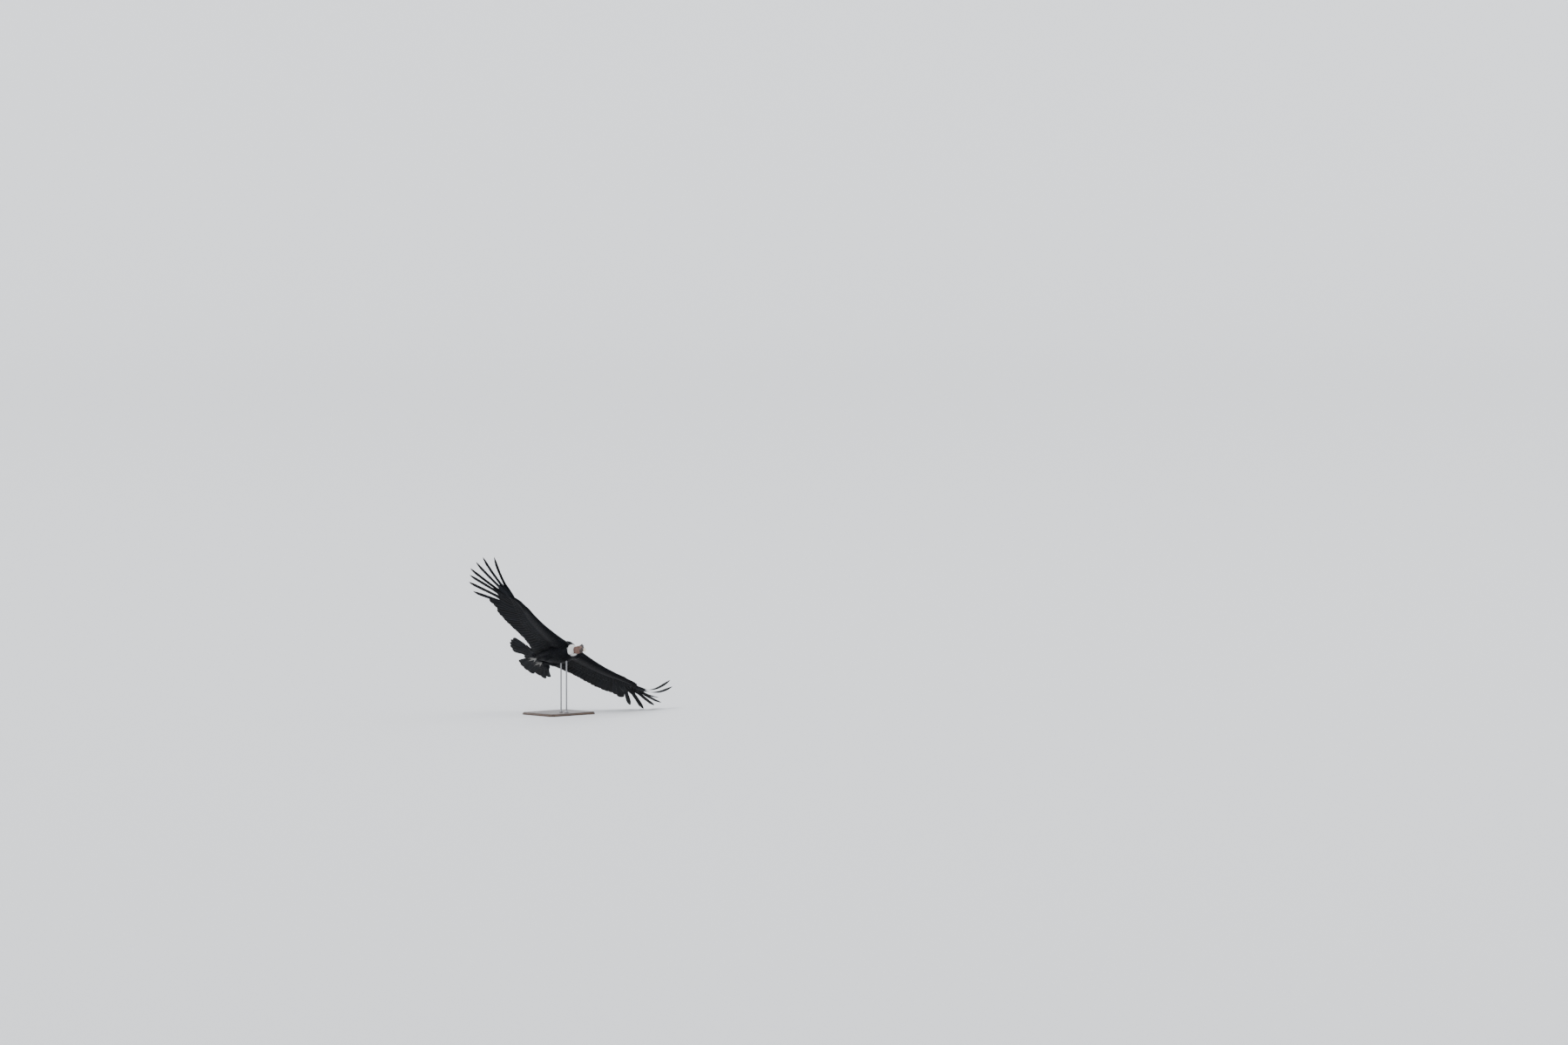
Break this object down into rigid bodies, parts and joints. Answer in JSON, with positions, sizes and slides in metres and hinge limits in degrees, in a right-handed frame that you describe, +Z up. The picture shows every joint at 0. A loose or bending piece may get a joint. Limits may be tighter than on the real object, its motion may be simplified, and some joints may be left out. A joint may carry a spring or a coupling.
{
  "type": "andean condor",
  "caption": "Life-size soaring condor with spread fingered wings, fanned tail, bare head, comb and white ruff, banked on a flat base with upright rods.",
  "frame": {"origin": "middle of the underside of the stand's base, on the floor", "axes": "+Z up, -Y the way the bird flies, +X towards its lowered left wing tip; the bird is banked and pitched over the base"},
  "size_m": [2.58, 1.1283, 1.728],
  "materials": {
    "plumage": "soft black feathers with a faint blue sheen",
    "skin": "bare folded skin, dull brown red",
    "comb": "thick dark fleshy comb",
    "down": "dense white down",
    "horn": "ivory horn, satin",
    "eye": "wet brown eye",
    "shank": "grey scaled skin",
    "claw": "dark horn",
    "board": "stained board, satin",
    "rod": "brushed rod"
  },
  "bodies": {
    "root": {"bill_lower": "horn", "bill_upper": "horn", "claw_left_1": "claw", "claw_left_2": "claw", "claw_left_3": "claw", "claw_left_4": "claw", "claw_right_1": "claw", "claw_right_2": "claw", "claw_right_3": "claw", "claw_right_4": "claw", "comb": "comb", "eye_left": "eye", "eye_right": "eye", "foot_left": "shank", "foot_right": "shank", "head": "skin", "neck": "skin", "ruff": "down", "stand_base": "board", "stand_rod_1": "rod", "stand_rod_2": "rod", "tail": "plumage", "thigh_left": "plumage", "thigh_right": "plumage", "torso": "plumage", "wing_left_arm": "plumage", "wing_left_forearm": "plumage", "wing_left_hand": "plumage", "wing_right_arm": "plumage", "wing_right_forearm": "plumage", "wing_right_hand": "plumage"}
  },
  "joints": []
}
